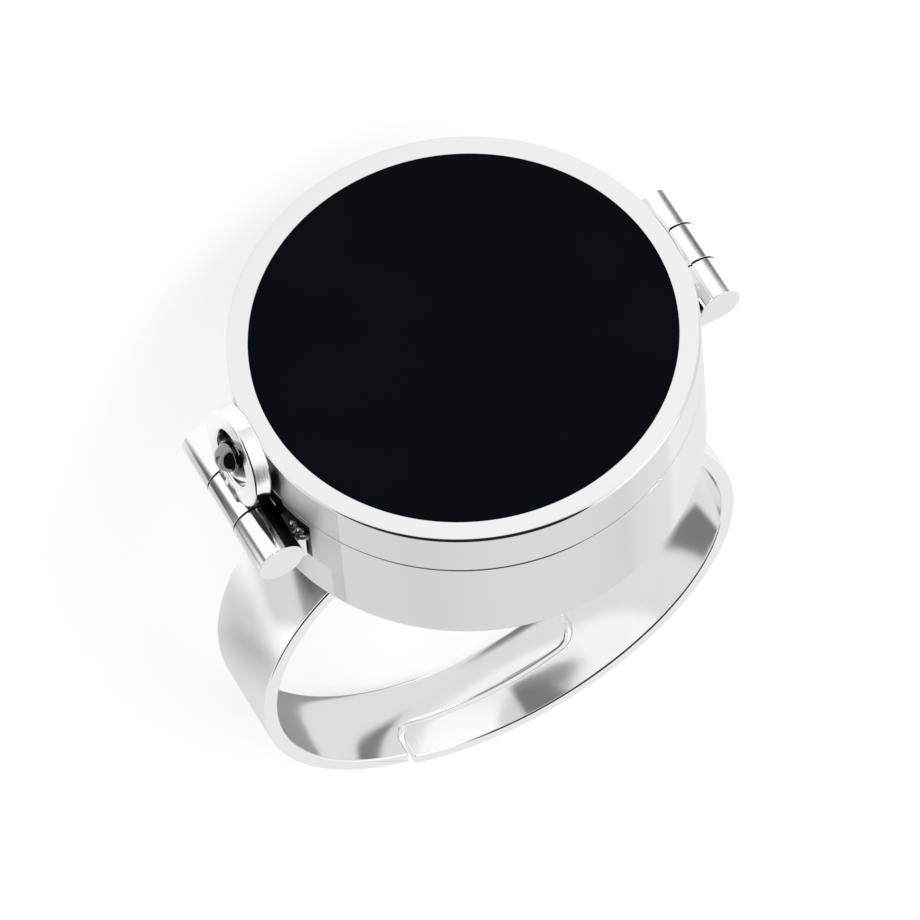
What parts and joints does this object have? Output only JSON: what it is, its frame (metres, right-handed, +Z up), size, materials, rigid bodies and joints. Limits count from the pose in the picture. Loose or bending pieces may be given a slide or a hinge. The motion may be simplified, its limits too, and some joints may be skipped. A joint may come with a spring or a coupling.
{
  "type": "adjustable finger ring with a lidded box",
  "caption": "Polished steel finger ring with a shallow round lidded box, a black disc in the lid, a hinge, a snap hasp and an open adjustable band.",
  "frame": {"origin": "centre of the bounding box at floor level, with the ring lying on its side as it comes to rest", "axes": "+Y from the lid towards the palm side of the band, +Z up, +X from the hinge towards the clasp; the lid faces -Y and about 20 degrees up, and the finger axis runs about 20 degrees off vertical"},
  "size_m": [0.0208, 0.0286, 0.0186],
  "materials": {
    "steel": "mirror-polished stainless steel",
    "black_inlay": "flush glossy black"
  },
  "bodies": {
    "case": {"case_and_band": "steel", "hinge_pin": "steel", "clasp_pin": "steel"},
    "lid": {"lid": "steel", "lid_inlay": "black_inlay"},
    "hasp": {"hasp": "steel"}
  },
  "joints": [
    {"name": "lid_hinge", "type": "hinge", "parent": "case", "child": "lid", "pos_m": [-0.00951, -0.00952, 0.01014], "axis": [-0.0492, -0.342, -0.9384], "range_deg": [0, 105]},
    {"name": "hasp_hinge", "type": "hinge", "parent": "case", "child": "hasp", "pos_m": [0.00936, -0.00792, 0.00887], "axis": [0.0492, 0.342, 0.9384], "range_deg": [0, 120]}
  ]
}
